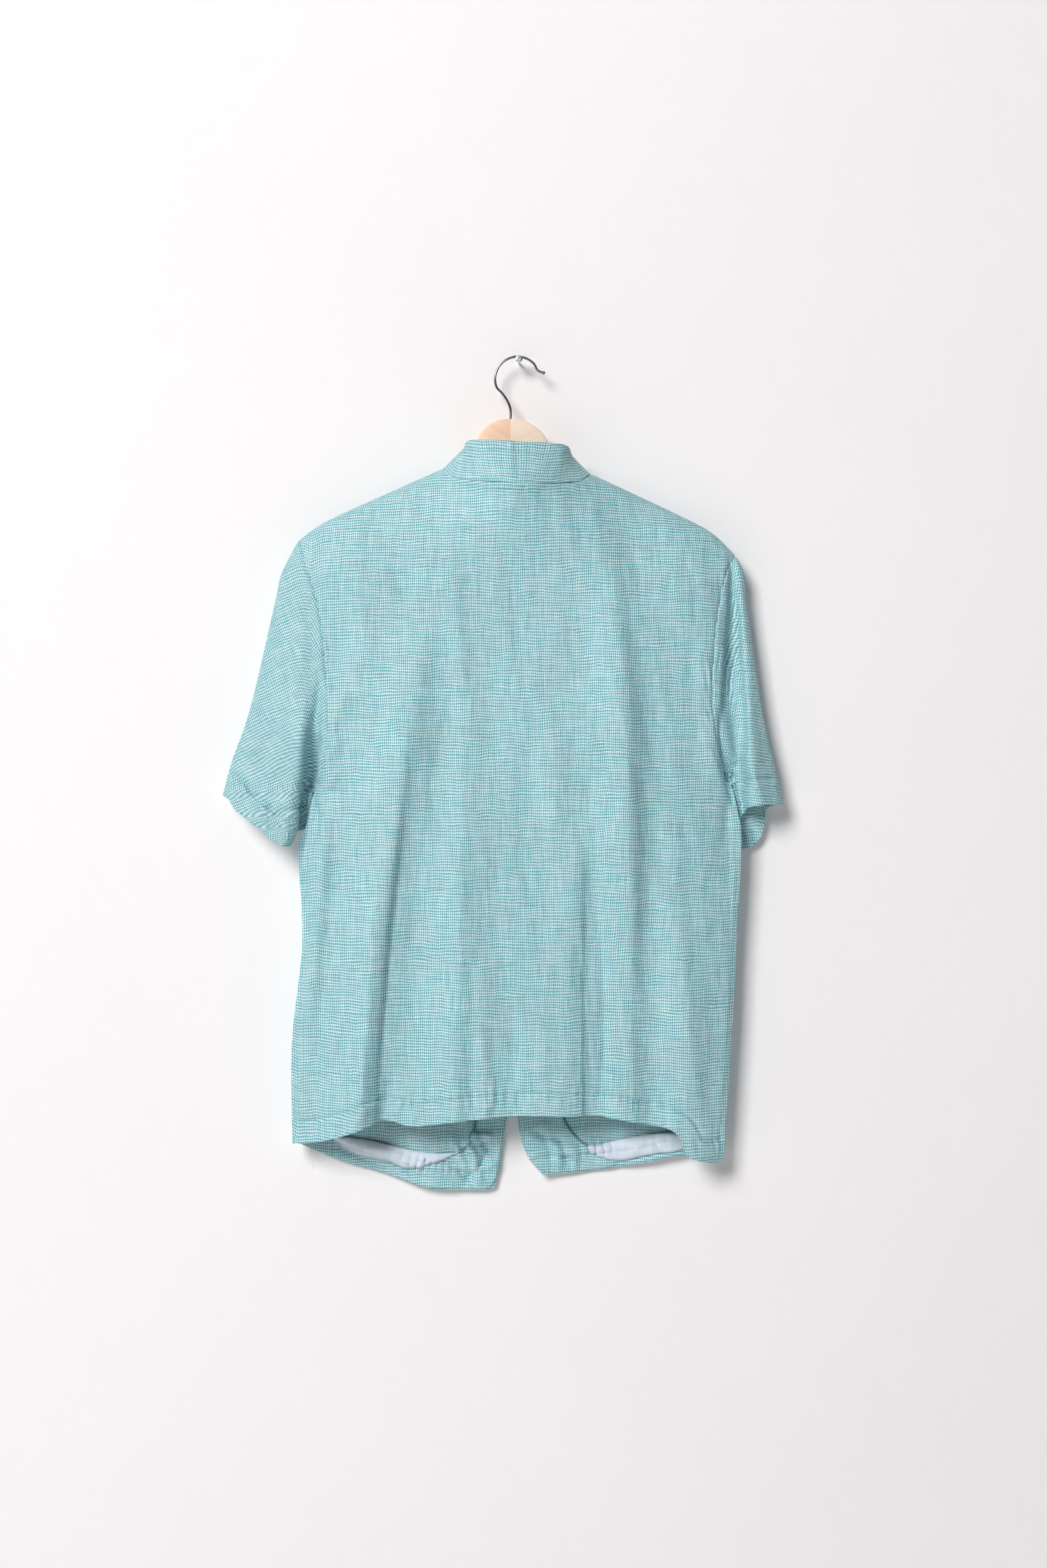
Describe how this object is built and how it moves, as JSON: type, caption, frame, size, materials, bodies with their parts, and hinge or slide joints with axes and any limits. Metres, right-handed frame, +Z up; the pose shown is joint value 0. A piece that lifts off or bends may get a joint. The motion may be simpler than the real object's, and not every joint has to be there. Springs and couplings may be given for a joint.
{
  "type": "mandarin collar shirt on hanger",
  "caption": "Short-sleeved shirt in a small woven check with a stand collar, buttoned up on a wooden hanger whose hook hangs on a wall nail.",
  "frame": {"origin": "where the hanger's hook rests on the nail", "axes": "+Z up; the shirt's back faces -Y and its fronts face the wall at +Y; +X points to the wearer's right"},
  "size_m": [0.6075, 0.0735, 0.909],
  "materials": {
    "check_cloth": "matte",
    "facing_strip": "matte",
    "wood_left": "satin",
    "wood_right": "satin",
    "hook_chrome": "polished",
    "nail_steel": "satin",
    "button": "satin"
  },
  "bodies": {
    "root": {"back": "check_cloth", "front_left": "check_cloth", "front_right": "check_cloth", "sleeve_left": "check_cloth", "sleeve_right": "check_cloth", "collar": "check_cloth", "facing_left": "check_cloth", "facing_right": "check_cloth", "facing_strip_left": "facing_strip", "facing_strip_right": "facing_strip", "hanger_left": "wood_left", "hanger_right": "wood_right", "hook": "hook_chrome", "nail": "nail_steel", "button_1": "button", "button_2": "button", "button_3": "button", "button_4": "button", "button_5": "button", "button_6": "button"}
  },
  "joints": []
}
